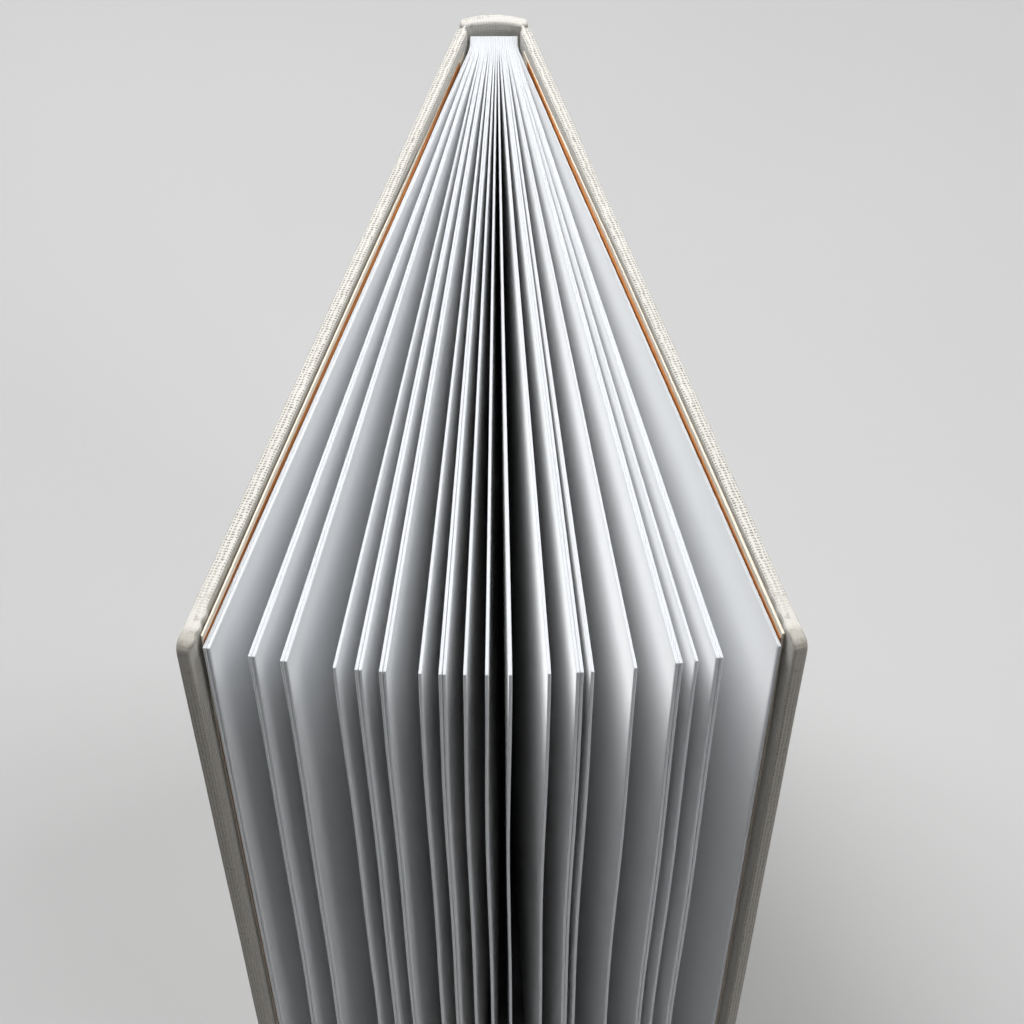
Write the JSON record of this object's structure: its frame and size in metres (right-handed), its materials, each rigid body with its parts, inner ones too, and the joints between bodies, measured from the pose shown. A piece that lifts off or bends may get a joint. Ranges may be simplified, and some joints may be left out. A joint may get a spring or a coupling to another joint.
{
  "type": "photo book",
  "caption": "Cloth-bound upright photo book standing on its tail with its thick leaves fanned open, and two covers that swing on their cloth joints.",
  "frame": {"origin": "middle of the book's footprint, on the surface that it stands on", "axes": "+Z from tail to head, +Y towards the spine, +X towards the back cover"},
  "size_m": [0.132, 0.2152, 0.3034],
  "materials": {
    "linen": "plain woven, matt",
    "greyboard": "raw board, matt",
    "leaf_paper": "smooth, matt",
    "cream_paper": "smooth, matt",
    "brown_paper": "kraft, matt",
    "lining": "glued gauze, matt"
  },
  "bodies": {
    "block": {"page_block": "leaf_paper", "spine_lining": "lining", "spine_board": "greyboard", "spine_cloth": "linen"},
    "front_cover": {"front_board": "greyboard", "front_cloth": "linen", "front_pastedown": "cream_paper", "front_endpaper": "brown_paper"},
    "back_cover": {"back_board": "greyboard", "back_cloth": "linen", "back_pastedown": "cream_paper", "back_endpaper": "brown_paper"}
  },
  "joints": [
    {"name": "front_cover_joint", "type": "hinge", "parent": "block", "child": "front_cover", "pos_m": [-0.00754, 0.10477, 0], "axis": [0, 0, -1], "range_deg": [0, 160]},
    {"name": "back_cover_joint", "type": "hinge", "parent": "block", "child": "back_cover", "pos_m": [0.00754, 0.10477, 0], "axis": [0, 0, 1], "range_deg": [0, 160]}
  ]
}
